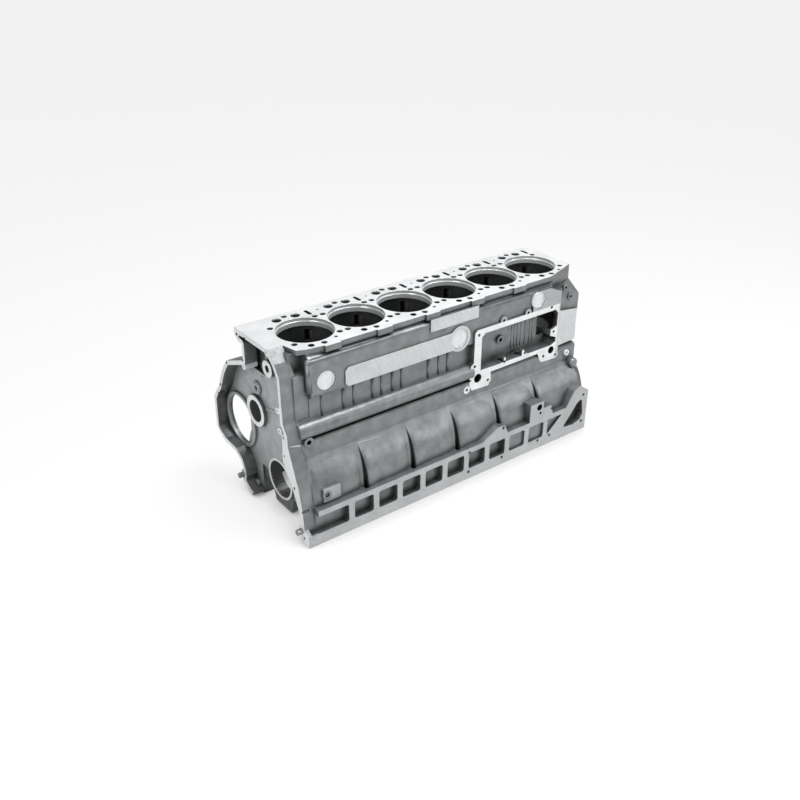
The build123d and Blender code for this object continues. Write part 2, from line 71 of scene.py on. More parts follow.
# %% Driving sizes
MM = 0.001
pitch = 155 * MM
deck = high[2]
floor_level = low[2]
cylinders = [(i - 2.5) * pitch for i in range(6)]
bearings = [(i - 3) * pitch for i in range(7)]
gear_face = cylinders[0] - 132 * MM
tray_floor = gear_face + 35 * MM
flywheel_face = cylinders[5] + 100 * MM
near_wall = -112 * MM
recess_wall = -99 * MM
pad_face = near_wall - 3 * MM
flange_face = near_wall - 6 * MM
rail_face = -190 * MM
mount_block_face = -172 * MM
camshaft = (90.8 * MM, 169 * MM)


def mm(*lengths):
    """Lengths or a place in millimetres, as a tuple in metres."""
    return tuple(length * MM for length in lengths)


print("cylinders at", [round(x, 4) for x in cylinders])

# %% [markdown]
# ## Camera
# The photograph was taken from above the gear end's near corner. A camera solved from the six
# bores gives its place, direction and lens. A small shift keeps the photograph's framing, because
# the block doesn't sit exactly in the middle of the lens's axis.

# %% Camera
image_size = 800
camera_place = Vector((-1.4515, -1.7881, 1.3486))
camera_direction = Vector((0.54386, 0.68719, -0.48165))
camera_roll = math.radians(0.76)
focal_pixels = 912.34
axis_pixel = (414.97, 398.44)

lens = bpy.data.cameras.new("photo_camera")
lens.sensor_width = 36.0
lens.lens = focal_pixels / image_size * lens.sensor_width
lens.shift_x = (image_size / 2 - axis_pixel[0]) / image_size
lens.shift_y = (axis_pixel[1] - image_size / 2) / image_size
camera = bpy.data.objects.new("photo_camera", lens)
bpy.context.scene.collection.objects.link(camera)
turn = camera_direction.to_track_quat("-Z", "Y").to_matrix().to_4x4()
camera.matrix_world = Matrix.Translation(camera_place) @ turn @ Matrix.Rotation(camera_roll, 4, "Z")
bpy.context.scene.camera = camera
print("lens", round(lens.lens, 2), "mm, shift", round(lens.shift_x, 4), round(lens.shift_y, 4))

# %% [markdown]
# ## One colour function and one node function
# Colours are written as hex, the way a colour picker shows them, and turned to the linear numbers
# that a shader mixes. One small function adds a node with its settings and its links, which keeps
# each material to a few readable lines. Some sockets share a name, so a socket can also be given
# by its number: n6 is input 6.

# %% Helpers for materials
def linear(code):
    """A hex colour as linear red, green, blue and alpha."""
    parts = [int(code[i:i + 2], 16) / 255 for i in (1, 3, 5)]
    return (*[c / 12.92 if c <= 0.04045 else ((c + 0.055) / 1.055) ** 2.4 for c in parts], 1.0)


def add_node(tree, kind, settings=None, **sockets):
    """A new node. settings are its own properties, sockets are values or links for its inputs."""
    node = tree.nodes.new(kind)
    for name, value in (settings or {}).items():
        setattr(node, name, value)
    for name, value in sockets.items():
        key = int(name[1:]) if name[0] == "n" and name[1:].isdigit() else name.replace("_", " ")
        if isinstance(value, bpy.types.NodeSocket):
            tree.links.new(value, node.inputs[key])
        else:
            node.inputs[key].default_value = value
    return node


def new_material(name):
    """An empty material with its output node."""
    material = bpy.data.materials.new(name)
    material.use_nodes = True
    material.node_tree.nodes.clear()
    return material, material.node_tree, material.node_tree.nodes.new("ShaderNodeOutputMaterial")


print("helpers ready")

# %% [markdown]
# ## Cast iron
# The block is grey iron poured in a sand mould. The skin is matt and slightly mottled, with a grit
# of about a millimetre. A grit that fine would vanish at this distance, so it is drawn at three
# millimetres. Corners in a mould are never sharp: a rounded normal at the edges gives them the soft
# highlight of a cast fillet. The skin also swells by a millimetre or two over a hand's width, where
# the sand gave way, and that breaks up its highlights. An occlusion term darkens the colour in
# hollows and corners: this is painted shade.
#
# The same iron comes in three tones. Most of it is plain sand-cast skin. The tray of the gear case
# wears a paler, more matt copy of it, which is painted light. The walls inside the water jackets
# and the oil ways wear a dark copy of it, which is painted shade.

# %% Cast iron
def cast_iron(name, dark, light, roughness):
    """Cast grey iron, from its darker to its lighter grey."""
    material, tree, output = new_material(name)
    place = add_node(tree, "ShaderNodeTexCoord").outputs["Object"]
    mottle = add_node(tree, "ShaderNodeTexNoise", Vector=place, Scale=1 / (30 * MM), Detail=5.0)
    swell = add_node(tree, "ShaderNodeTexNoise", Vector=place, Scale=1 / (34 * MM), Detail=2.0)
    grit = add_node(tree, "ShaderNodeTexNoise", Vector=place, Scale=1 / (3 * MM), Detail=3.0)
    grey = add_node(tree, "ShaderNodeMix", {"data_type": "RGBA"}, Factor=mottle.outputs["Fac"],
                    n6=linear(dark), n7=linear(light))
    rounded = add_node(tree, "ShaderNodeBevel", {"samples": 4}, Radius=2.5 * MM)
    # Painted shade: occlusion darkens the colour in hollows and corners, down to 0.12 of it.
    hollow = add_node(tree, "ShaderNodeAmbientOcclusion", {"samples": 6}, Distance=45 * MM)
    painted_hollow_shade = add_node(tree, "ShaderNodeMapRange", n0=hollow.outputs["AO"], n1=0.2, n2=0.9,
                    n3=0.12, n4=1.0)
    shaded = add_node(tree, "ShaderNodeMix", {"data_type": "RGBA", "blend_type": "MULTIPLY"},
                      n0=1.0, n6=grey.outputs[2], n7=painted_hollow_shade.outputs[0])
    wavy = add_node(tree, "ShaderNodeBump", Height=swell.outputs["Fac"], Strength=0.6,
                    Distance=3.0 * MM, Normal=rounded.outputs["Normal"])
    bump = add_node(tree, "ShaderNodeBump", Height=grit.outputs["Fac"], Strength=0.5,
                    Distance=0.9 * MM, Normal=wavy.outputs["Normal"])
    shader = add_node(tree, "ShaderNodeBsdfPrincipled", Metallic=0.55, Roughness=roughness,
                      Normal=bump.outputs["Normal"])
    tree.links.new(shaded.outputs[2], shader.inputs["Base Color"])
    tree.links.new(shader.outputs["BSDF"], output.inputs["Surface"])
    return material


sand_cast = cast_iron("sand_cast_iron", "#565859", "#8e9192", 0.40)
# A paler copy of the cast iron for the gear case's tray: painted light.
painted_lit_tray_cast = cast_iron("painted_lit_tray_iron", "#8c8e8f", "#b4b7b8", 0.48)
# A dark copy of the cast iron for deep hollows: painted shade.
painted_shade_cast = cast_iron("painted_shade_iron", "#2b2d2e", "#4a4c4d", 0.5)
print("made", sand_cast.name, painted_lit_tray_cast.name, painted_shade_cast.name)

# %% [markdown]
# ## Machined iron
# Joint faces are milled flat and the bores are turned, and both come out bright. A cutter leaves
# fine parallel marks. They are drawn here by a noise stretched along the cutter's path: lines along
# the block on the milled faces, and rings down the bores. Real marks are finer than a millimetre,
# so their spacing is drawn at 1.5 to 3 millimetres to show.
#
# The deck is almost white. The pads were cut across at an angle, and the rail with a coarse cutter
# that left it greyer. The crankshaft and camshaft bores and the bearing caps are drawn in a dark
# grey, which is painted shade, so they are the darkest of the machined faces.

# %% Machined iron
def machined_iron(name, colour, roughness, stretch, tilt=0.0, metal=0.55):
    """Freshly cut grey iron. stretch gives the marks' spacing along X, Y and Z, in metres."""
    material, tree, output = new_material(name)
    place = add_node(tree, "ShaderNodeTexCoord").outputs["Object"]
    turned = add_node(tree, "ShaderNodeMapping", Vector=place, Rotation=(0.0, tilt, 0.0))
    laid = add_node(tree, "ShaderNodeMapping", Vector=turned.outputs["Vector"],
                    Scale=tuple(1 / s for s in stretch))
    marks = add_node(tree, "ShaderNodeTexNoise", Vector=laid.outputs["Vector"], Scale=1.0,
                     Detail=2.0)
    clouds = add_node(tree, "ShaderNodeTexNoise", Vector=place, Scale=1 / (60 * MM), Detail=3.0)
    blend = add_node(tree, "ShaderNodeMath", {"operation": "MULTIPLY"}, n0=marks.outputs["Fac"],
                     n1=clouds.outputs["Fac"])
    tone = add_node(tree, "ShaderNodeMapRange", n0=blend.outputs[0], n1=0.12, n2=0.40,
                    n3=0.80, n4=1.0)
    shaded = add_node(tree, "ShaderNodeMix", {"data_type": "RGBA", "blend_type": "MULTIPLY"},
                      n0=1.0, n6=linear(colour), n7=tone.outputs[0])
    rounded = add_node(tree, "ShaderNodeBevel", {"samples": 4}, Radius=0.8 * MM)
    bump = add_node(tree, "ShaderNodeBump", Height=marks.outputs["Fac"], Strength=0.15,
                    Distance=0.3 * MM, Normal=rounded.outputs["Normal"])
    shader = add_node(tree, "ShaderNodeBsdfPrincipled", Metallic=metal, Roughness=roughness,
                      Normal=bump.outputs["Normal"])
    tree.links.new(shaded.outputs[2], shader.inputs["Base Color"])
    tree.links.new(shader.outputs["BSDF"], output.inputs["Surface"])
    return material


milled = machined_iron("milled_iron", "#e0e2e3", 0.45, mm(60, 2.5, 2.5), metal=0.3)
hatched = machined_iron("cross_milled_iron", "#c4c6c7", 0.45, mm(2.4, 3, 30), math.radians(28))
ground = machined_iron("rough_milled_iron", "#a9abac", 0.50, mm(12, 3, 3))
bored = machined_iron("bored_iron", "#e6e8e9", 0.28, mm(40, 40, 1.5), metal=0.6)
# Painted shade: the crankshaft and camshaft bores and the caps are drawn in a dark grey.
painted_shade_bored = machined_iron("painted_shade_bored_iron", "#6e7071", 0.36, mm(1.5, 40, 40))
print("made", milled.name, hatched.name, ground.name, bored.name, painted_shade_bored.name)

# %% [markdown]
# ## Plug, dowel and bolt steel
# Core plugs are pressed from bright sheet steel. The dowels are ground, and the cap bolts are turned
# and darker. All three show fine cutting marks, so the recipe for machined iron serves them too.

# %% Steel
plug_steel = machined_iron("pressed_plug_steel", "#d6d8d9", 0.35, mm(6, 6, 6))
dowel_steel = machined_iron("ground_dowel_steel", "#8f9192", 0.35, mm(1.5, 20, 20))
bolt_steel = machined_iron("turned_bolt_steel", "#5a5c5e", 0.4, mm(20, 20, 2))
print("made", plug_steel.name, dowel_steel.name, bolt_steel.name)

# %% [markdown]
# ## Tools for new pieces
# A new piece starts as a bmesh, gets its shape from bmesh operators, and is written to an object at
# the origin with its place in its mesh, as the solids are. It then rides on the part's one body.

# %% Helpers for pieces
def to_object(name, mesh_data):
    """Turns a bmesh into an object in the scene."""
    mesh = bpy.data.meshes.new(name)
    mesh_data.to_mesh(mesh)
    mesh_data.free()
    made = bpy.data.objects.new(name, mesh)
    bpy.context.scene.collection.objects.link(made)
    return made


def finish_piece(name, mesh_data, material, smooth=False):
    """Turns a bmesh into an object that rides on the part."""
    bmesh.ops.recalc_face_normals(mesh_data, faces=mesh_data.faces)
    piece = to_object(name, mesh_data)
    piece.data.materials.append(material)
    if smooth:
        piece.data.shade_smooth()
    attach(piece, "root")
    print(name, len(piece.data.polygons), "faces")
    return piece


def pour_into(mesh_data, part):
    """Adds the faces of one bmesh to another, and frees the first."""
    held = bpy.data.meshes.new("held_piece")
    part.to_mesh(held)
    part.free()
    mesh_data.from_mesh(held)
    bpy.data.meshes.remove(held)


def rod(mesh_data, radius, start, end, sides=24, top_radius=None):
    """A closed rod between two points, wider or narrower at its end if top_radius says so."""
    start, end = Vector(start), Vector(end)
    along = end - start
    aim = along.to_track_quat("Z", "Y").to_matrix().to_4x4()
    place = Matrix.Translation((start + end) / 2) @ aim
    wide = radius if top_radius is None else top_radius
    return bmesh.ops.create_cone(mesh_data, cap_ends=True, segments=sides, radius1=radius,
                                 radius2=wide, depth=along.length, matrix=place)["verts"]


def block_of(mesh_data, x, y, z):
    """A box between the two values given for each axis."""
    size = Vector((x[1] - x[0], y[1] - y[0], z[1] - z[0]))
    centre = Vector((sum(x) / 2, sum(y) / 2, sum(z) / 2))
    place = Matrix.Translation(centre) @ Matrix.Diagonal((*size, 1.0))
    return bmesh.ops.create_cube(mesh_data, size=1.0, matrix=place)["verts"]


def wrap(mesh_data, groups):
    """Wraps rods in one skin, which makes a slot or a pocket with round corners."""
    rods = [v for group in groups for v in group]
    points = [v.co.copy() for v in rods]
    bmesh.ops.delete(mesh_data, geom=rods, context="VERTS")
    fresh = [mesh_data.verts.new(point) for point in points]
    bmesh.ops.convex_hull(mesh_data, input=fresh)
    bmesh.ops.delete(mesh_data, geom=[v for v in fresh if not v.link_faces], context="VERTS")


def turned(mesh_data, profile, centre, direction, sides=24):
    """A turned piece: a profile of radius and height pairs in millimetres, spun about its axis."""
    spun = bmesh.new()
    points = [spun.verts.new((radius * MM, 0.0, height * MM)) for radius, height in profile]
    following = points[1:] + points[:1] if profile[0][0] > 0 else points[1:]
    edges = [spun.edges.new(pair) for pair in zip(points, following)]
    bmesh.ops.spin(spun, geom=points + edges, cent=(0, 0, 0), axis=(0, 0, 1), angle=2 * math.pi,
                   steps=sides, use_merge=True)
    bmesh.ops.remove_doubles(spun, verts=spun.verts, dist=0.001 * MM)
    bmesh.ops.recalc_face_normals(spun, faces=spun.faces)
    aim = Vector(direction).to_track_quat("Z", "Y").to_matrix().to_4x4()
    bmesh.ops.transform(spun, matrix=Matrix.Translation(Vector(centre)) @ aim, verts=spun.verts)
    pour_into(mesh_data, spun)


def boss_profile(radius, height, hole, depth, root=6.0):
    """A round boss with a softened rim and a blind hole in it, from its root in the wall."""
    chamfer = 1.2
    return [(0, -root), (radius, -root), (radius, height - chamfer), (radius - chamfer, height),
            (hole, height), (hole, height - depth), (0, height - depth)]


def ring_profile(inner, outer, height, root=4.0):
    """A flat ring that stands proud of a wall, from its root in the wall."""
    chamfer = 0.8
    return [(inner, -root), (outer, -root), (outer, height - chamfer), (outer - chamfer, height),
            (inner + chamfer, height), (inner, height - chamfer)]


print("piece helpers ready")

# %% [markdown]
# ## A sweep round the crankshaft
# The crankcase wall is a barrel about the crankshaft, so what stands on it or is cut into it is a
# section that is swept round that axis. A rib of a casting doesn't stop dead at its upper end: it
# fades into the wall, and a crease beside it narrows to a point. Both are done to the swept points,
# by how far round the wall they are.

# %% Sweep a section up the near wall
wall_radius = 166 * MM
sweep_low = math.radians(-2)
sweep_high = math.radians(46)
sunk_end = 1.5 * MM
pinched_share = 0.15


def sweep_round_crank(mesh_data, section, fade_from, top=sweep_high, pinch=None, bottom=sweep_low):
    """Sweeps a section of (x, proud) pairs up the near wall, fading into it above an angle.

    With pinch, the part below the skin narrows towards that x and runs out at the top.
    """
    swept = bmesh.new()
    first = [swept.verts.new((x * MM, -(wall_radius + proud * MM) * math.cos(bottom),
                              (wall_radius + proud * MM) * math.sin(bottom)))
             for x, proud in section]
    face = swept.faces.new(first)
    bmesh.ops.spin(swept, geom=[face, *face.verts, *face.edges], cent=(0, 0, 0), axis=(1, 0, 0),
                   angle=-(top - bottom), steps=24, use_duplicate=False)
    bmesh.ops.remove_doubles(swept, verts=swept.verts, dist=0.01 * MM)
    bmesh.ops.recalc_face_normals(swept, faces=swept.faces)
    for v in swept.verts:
        radius = math.hypot(v.co.y, v.co.z)
        angle = math.atan2(v.co.z, -v.co.y)
        left = min(1.0, max(0.0, (sweep_high - angle) / max(sweep_high - fade_from, 0.001)))
        proud = radius - wall_radius
        if proud > 0 and fade_from < sweep_high:
            radius = wall_radius + proud * left * left * (3 - 2 * left) - sunk_end * (1 - left)
        if pinch is not None:
            deep = min(1.0, (top - angle) / (top - fade_from))
            radius = wall_radius + proud * (deep if proud < 0 else 1.0)
            v.co.x = pinch + (v.co.x - pinch) * (pinched_share + (1 - pinched_share) * deep)
        v.co.y, v.co.z = -radius * math.cos(angle), radius * math.sin(angle)
    pour_into(mesh_data, swept)


print("wall radius", round(wall_radius / MM), "mm")

# %% [markdown]
# ## Small drilled holes
# The casting already has its head bolt and pushrod holes. The smaller ones are cut here: coolant and
# oil holes and slots in the deck, and round mouths on the holes that are there. They are made as one
# set of closed rods, boxes and skins that is subtracted from a merged copy of the casting, because a
# true hole has walls that catch light and a painted dot has none.

# %% Holes in the deck
drills = bmesh.new()
above = 1 * MM
deck_spots = [(-35, -84.9, 8.5), (40.8, -77.7, 4.75), (93.4, 88.9, 3)]
head_bolts = [(sx * 65.5, sy * 57.5) for sx in (-1, 1) for sy in (-1, 1)] + [(0, -88.4), (0, 101)]
pushrod_dx = 27.5
slot_dx = 63.4


def mouth_of(x, y, depth, narrow, wide, sides=24):
    """A countersunk mouth in the deck, with its depth and two radii in millimetres."""
    start, end = (x, y, deck - depth * MM), (x, y, deck + 0.2 * MM)
    rod(drills, narrow * MM, start, end, top_radius=wide * MM, sides=sides)


for x in cylinders:
    for dx, y, radius in deck_spots:
        if x + dx * MM < flywheel_face - 12 * MM:
            spot = (x + dx * MM, y * MM)
            rod(drills, radius * MM, (*spot, deck - 30 * MM), (*spot, deck + above))
    for dx, y in head_bolts:
        mouth_of(x + dx * MM, y * MM, depth=2.6, narrow=6, wide=8.4)
    for dx in (-pushrod_dx, pushrod_dx):
        mouth_of(x + dx * MM, camshaft[0], depth=2.2, narrow=11.2, wide=13, sides=40)
    slot_ends = [(x + slot_dx * MM, y * MM) for y in (77, 99)]
    wrap(drills, [rod(drills, 5.2 * MM, (*spot, deck - 25 * MM), (*spot, deck + above), sides=16)
                  for spot in slot_ends])
print("drills so far:", len(drills.faces), "faces")

# %% [markdown]
# ## Bolt holes of the joint faces
# Every joint face has its row of tapped holes: the rim of the gear case, the near rail, the sump
# rail from below, the flywheel end, and two in the tray of the gear case. Each is a blind rod that
# starts a millimetre in front of its face, so that no sliver of skin stays over its mouth.

# %% Bolt holes
rim_holes = [(110, 389), (69, 392), (-37, 398), (-78, 342), (-80, 273), (-96, 185), (-94, 132),
             (-133, 58), (-166, 2), (-168, -76), (182, 280), (89, 325), (232, 195), (251, 161)]
for y, z in [mm(*spot) for spot in rim_holes]:
    rod(drills, 4 * MM, (gear_face - above, y, z), (gear_face + 22 * MM, y, z), sides=16)

rail_holes = [(10.5, -10), (9.5, -73), (136.5, 26), (136.5, -24), (136.5, -72), (281.5, -69),
              (330.5, -67), (331.5, 25), (284.5, 25), (467.5, 27), (469.5, -66)]
for x, z in [mm(*spot) for spot in rail_holes]:
    rod(drills, 4.5 * MM, (x, rail_face - above, z), (x, rail_face + 20 * MM, z), sides=16)

for x in [(i - 5.5) * pitch / 2 for i in range(12)]:
    for y in mm(-179, 176):
        rod(drills, 4.5 * MM, (x, y, floor_level - above), (x, y, floor_level + 14 * MM), sides=16)

housing_holes = [(-100, 350), (0, 372), (92, 350), (-106, 200), (102, 235), (-150, -30),
                 (150, -30), (-104, 275)]
for y, z in [mm(*spot) for spot in housing_holes]:
    rod(drills, 5 * MM, (flywheel_face + above, y, z), (flywheel_face - 20 * MM, y, z), sides=16)

tray_holes = [(168, 152, 7), (87, 237, 5)]
for y, z, radius in [mm(*hole) for hole in tray_holes]:
    rod(drills, radius, (tray_floor - above, y, z), (tray_floor + 6 * MM, y, z), sides=20)
print("drills so far:", len(drills.faces), "faces")

# %% [markdown]
# ## Hollows of the cooler side
# Some forms of the near side are deeper than the solids show them: the lower arm of the cooler's
# chamber with its pits, the chamber's inlet, the line of the groove under the oil gallery, and the
# last pocket of the rail, which has round corners. Boxes cut the square ones, and a skin wrapped
# round six rods cuts the pocket. The holes of the bosses on this side are cut here too, because the
# casting behind a boss would fill them.

# %% Hollows and the holes of bosses
chamber_arm = mm(-119, -86)
for x in mm(186, 203, 286):
    block_of(drills, (x - 5 * MM, x + 5 * MM), chamber_arm, mm(190.3, 212))
block_of(drills, mm(206, 262), chamber_arm, mm(190.3, 212))
block_of(drills, mm(172, 292), mm(-106, -86), mm(190.4, 213))
for x in mm(196, 262):
    rod(drills, 9 * MM, (x, -96 * MM, 160 * MM), (x, -96 * MM, 192 * MM), sides=20)
block_of(drills, mm(376, 434), mm(-111, -68), mm(203, 283))
block_of(drills, mm(-448, 70), mm(-119, -104), mm(166, 171))

last_pocket = [(397, -57), (432, -61), (458, -54), (466, -38), (459, 6), (446, 2)]
wrap(drills, [rod(drills, 5 * MM, (x, rail_face - above, z), (x, -168 * MM, z), sides=16)
              for x, z in [mm(*corner) for corner in last_pocket]])
rod(drills, 10 * MM, (279 * MM, rail_face - above, 45 * MM), mm(279, -165, 45))
rod(drills, 7.6 * MM, mm(-448.5, -173, 30), mm(-448.5, -150, 30))

# x, z, radius, and where the hole starts and ends in Y
boss_holes = [(-464, 165, 6.4, -122, -100), (199, 248, 5.4, -88, -76),
              (449.7, 146.8, 3.9, -119, -105), (426, 361, 3.9, -114, -100),
              (449, 328, 3.9, -114, -100)]
for x, z, radius, start, end in [mm(*hole) for hole in boss_holes]:
    rod(drills, radius, (x, start, z), (x, end, z), sides=20)
print("drills so far:", len(drills.faces), "faces")

# %% [markdown]
# ## Creases beside the ribs
# Beside each rib of the crankcase the wall is drawn in to a dark crease, which is widest at the rail
# and narrows to a point under the oil gallery. The rib itself ends before that point, so its upper
# end is cut away. Both cuts are swept round the crankshaft.

# %% Creases and the upper ends of the ribs
rib_flank = 11.4
crease_cut = [(-24, 12), (-24, 1), (-20, -3), (-15.5, -6.5), (-rib_flank, -7), (-rib_flank, 12)]
rib_end = [(-11.3, 0.05), (-11.3, 12), (11.3, 12), (11.3, 0.05)]
crease_fades_from, crease_top = math.radians(8), math.radians(43)
rib_end_low, rib_end_high = math.radians(20), math.radians(43.5)
no_fade = math.radians(60)


def section_at(x, section):
    """A section in millimetres, moved to a place along the block."""
    return [(x / MM + dx, proud) for dx, proud in section]


for x in bearings[1:-1]:
    sweep_round_crank(drills, section_at(x, crease_cut), crease_fades_from, top=crease_top,
                      pinch=x - rib_flank * MM)
    sweep_round_crank(drills, section_at(x, rib_end), no_fade, top=rib_end_high,
                      bottom=rib_end_low)
print("drills:", len(drills.faces), "faces")

# %% [markdown]
# ## Cut the holes
# A Boolean modifier subtracts the whole set at once. Its exact solver, told that the set crosses
# itself, copes with rods that run into each other. A Boolean needs a closed mesh, so the casting's
# loose triangles are merged in a copy first, and the solid itself is left alone.

# %% Cut them from a copy of the casting
def merged_copy(node):
    """A bmesh of a CAD node with its loose triangles merged."""
    mesh_data = bmesh.new()
    mesh_data.from_mesh(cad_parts[node].data)
    bmesh.ops.remove_doubles(mesh_data, verts=mesh_data.verts, dist=0.01 * MM)
    bmesh.ops.recalc_face_normals(mesh_data, faces=mesh_data.faces)
    return mesh_data


casting = to_object("dressed_block", merged_copy("cylinder_block"))
cutter = to_object("drill_set", drills)
cut = casting.modifiers.new("drilled", "BOOLEAN")
cut.operation = "DIFFERENCE"
cut.solver = "EXACT"
cut.use_self = True
cut.object = cutter
bpy.context.view_layer.update()
joined = bpy.data.meshes.new_from_object(casting.evaluated_get(bpy.context.evaluated_depsgraph_get()))
casting.modifiers.clear()
bpy.data.objects.remove(cutter)
print("drilled casting:", len(joined.polygons), "faces")

# %% [markdown]
# ## Part the flange
# The cooler flange is one flat face with three finishes: greyer above the chamber, cross-milled at
# its flywheel end, and bright elsewhere. A finish is picked for each face as a whole, so the flange
# is first parted along the two lines where its finish changes.

# %% Part the flange where its finish changes
flange_grey_above = 318 * MM
flange_hatched_from = 402 * MM
flange_cuts = [((0, 0, flange_grey_above), (0, 0, 1)), ((flange_hatched_from, 0, 0), (1, 0, 0))]
square_on = 0.9


def near(value, target, room=0.6 * MM):
    """Whether two places are the same, give or take some room."""
    return abs(value - target) < room


parted = bmesh.new()
parted.from_mesh(joined)
for place, facing in flange_cuts:
    skin = [f for f in parted.faces
            if f.normal.y < -square_on and near(f.calc_center_median().y, flange_face)]
    edges = {e for f in skin for e in f.edges}
    corners = {v for f in skin for v in f.verts}
    bmesh.ops.bisect_plane(parted, geom=[*skin, *edges, *corners], dist=0.01 * MM,
                           plane_co=place, plane_no=facing)
drilled = bpy.data.meshes.new("dressed_block")
parted.to_mesh(drilled)
parted.free()
casting.data = drilled
print("parted casting:", len(drilled.polygons), "faces")

# %% [markdown]
# ## Which faces are machined
# A maker can tell a milled face from a cast one by where it lies: every machined face is on one of a
# few planes, and every bored one is on a known axis. The same rule picks each face's material here.
# Walls drawn dark with painted shade are told by the space they line: a jacket, the chamber's inlet
# or a blind hole.

# %% Give each face its finish
CAST, MILLED, HATCHED, GROUND, BORED, PAINTED_LIT_TRAY, PAINTED_SHADE, PAINTED_SHADE_BORED = range(8)
drilled.materials.clear()
for material in (sand_cast, milled, hatched, ground, bored, painted_lit_tray_cast, painted_shade_cast, painted_shade_bored):
    drilled.materials.append(material)

seat_radius, guide_radius, jacket_radius = mm(76, 70.5, 80)
seat_bottom = deck - 21.5 * MM
guide_middle, guide_half, jacket_bottom = mm(200, 16, 202)
inlet_walls = [mm(340, 440), mm(-84.5, -60), mm(199, 300)]
deepest_hole = -60 * MM
crank_bore, camshaft_bore = mm(52.5, 30)
# x, z, radius and the wall it starts in
blind_holes = [(-448.5, 30, 8, -172), (279, 45, 10.5, -190), (-464, 165, 7, -120),
               (199, 248, 6, -88)]


def lines_a_hollow(place, facing):
    """Whether a face lines the chamber's inlet or one of the blind holes."""
    if all(start < value < end for value, (start, end) in zip(place, inlet_walls)):
        return True
    for x, z, radius, wall_y in blind_holes:
        on_its_wall = abs(facing.y) < 0.5 and place.y > (wall_y + 0.5) * MM
        inside = (on_its_wall or place.y > (wall_y + 10) * MM) and place.y < deepest_hole
        if inside and math.hypot(place.x / MM - x, place.z / MM - z) < radius:
            return True
    return False


def finish_of(face):
    """The finish of one face of the casting, from its place and the way it faces."""
    place, facing = face.center, face.normal
    if facing.z > square_on and near(place.z, deck):
        return MILLED
    for x in cylinders:
        from_bore = math.hypot(place.x - x, place.y)
        if from_bore < seat_radius and place.z > seat_bottom:
            return BORED
        # The guide's flat faces and the jacket walls get the dark iron: painted shade.
        if from_bore < guide_radius and near(place.z, guide_middle, guide_half):
            return BORED if abs(facing.z) < 0.3 else PAINTED_SHADE
        if from_bore < jacket_radius and jacket_bottom < place.z < seat_bottom:
            return PAINTED_SHADE
    # The chamber's inlet and the blind holes get the dark iron: painted shade.
    if lines_a_hollow(place, facing):
        return PAINTED_SHADE
    if facing.y < -square_on and near(place.y, flange_face):
        if place.z > flange_grey_above:
            return GROUND
        return HATCHED if place.x > flange_hatched_from else MILLED
    if facing.y < -square_on:
        on_mount_block = near(place.y, mount_block_face) and place.z > 5 * MM
        if near(place.y, rail_face) or on_mount_block:
            return GROUND
        if near(place.y, pad_face):
            return HATCHED
    if facing.x < -square_on and place.x < tray_floor - 8 * MM:
        return MILLED
    # The tray's faces get the paler iron, which is painted light.
    if facing.x < -square_on and near(place.x, tray_floor):
        return PAINTED_LIT_TRAY
    if facing.x > square_on and near(place.x, flywheel_face):
        return MILLED
    if facing.z < -square_on and near(place.z, floor_level):
        return MILLED
    from_camshaft = math.hypot(place.y - camshaft[0], place.z - camshaft[1])
    # The crankshaft and camshaft bores get the dark bore iron: painted shade.
    if math.hypot(place.y, place.z) < crank_bore or near(from_camshaft, camshaft_bore, MM):
        return PAINTED_SHADE_BORED
    return CAST


# In this count, blasted is the paler tray iron, which is painted light; washed and line bored are the
# dark irons, which are painted shade.
counts = [0] * len(drilled.materials)
for face in drilled.polygons:
    face.material_index = finish_of(face)
    counts[face.material_index] += 1
print("faces cast, milled, hatched, rough milled, bored, blasted, washed, line bored:", counts)

# %% [markdown]
# ## Round walls look round
# The casting's bores and barrels are made of flat strips. Shading them smooth hides the strips, but
# the flat faces beside them must stay flat. So each round wall is found by its distance from its
# own axis, and every edge where one such wall ends is marked sharp.

# %% Shade the round walls smooth
# Each wall is a name and the radii between which its faces lie, in millimetres.
bore_walls = [("seat", 74.4, 75.8), ("guide", 71.6, 72.8), ("jacket", 76, 79.5),
              ("foot", 68.8, 70.3)]
crank_walls = [("crank", 51, 52.3), ("barrel", 165, 166.3), ("rib", 172.3, 173.3),
               ("bay", 154.5, 156.3)]
camshaft_walls = [("camshaft", 29.8, 30.8), ("camshaft ring", 43.8, 44.8)]
gallery_walls = [("gallery", 23, 24.3)]
gallery_y, gallery_z = -99, 190
bores_start = 180 * MM


def wall_at(reach, walls):
    """The name of the wall at this distance from its axis, or nothing."""
    return next((name for name, start, end in walls if start < reach < end), None)


def round_wall_of(face):
    """A name for the round wall that a face belongs to, or nothing for a flat face."""
    place = face.calc_center_median()
    facing = face.normal
    if abs(facing.z) < 0.3 and place.z > bores_start:
        for number, x in enumerate(cylinders):
            name = wall_at(math.hypot(place.x - x, place.y) / MM, bore_walls)
            if name:
                return name, number
    if abs(facing.x) < 0.3:
        from_crank = math.hypot(place.y, place.z) / MM
        from_camshaft = math.hypot(place.y - camshaft[0], place.z - camshaft[1]) / MM
        from_gallery = math.hypot(place.y / MM - gallery_y, place.z / MM - gallery_z)
        above_split = place.z > -MM
        return (above_split and wall_at(from_crank, crank_walls)
                or wall_at(from_camshaft, camshaft_walls)
                or wall_at(from_gallery, gallery_walls))
    return None


shaded = bmesh.new()
shaded.from_mesh(drilled)
walls = {face: round_wall_of(face) for face in shaded.faces}
for face, wall in walls.items():
    face.smooth = wall is not None
for edge in shaded.edges:
    edge.smooth = len({walls[face] for face in edge.link_faces}) == 1
shaded.to_mesh(drilled)
shaded.free()
print("faces on round walls:", sum(wall is not None for wall in walls.values()))
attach(casting, "root")
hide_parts("cylinder_block")

# %% [markdown]
# ## The plain solids keep their shape
# Caps, plugs and dowels are already right, so they only get their metal.

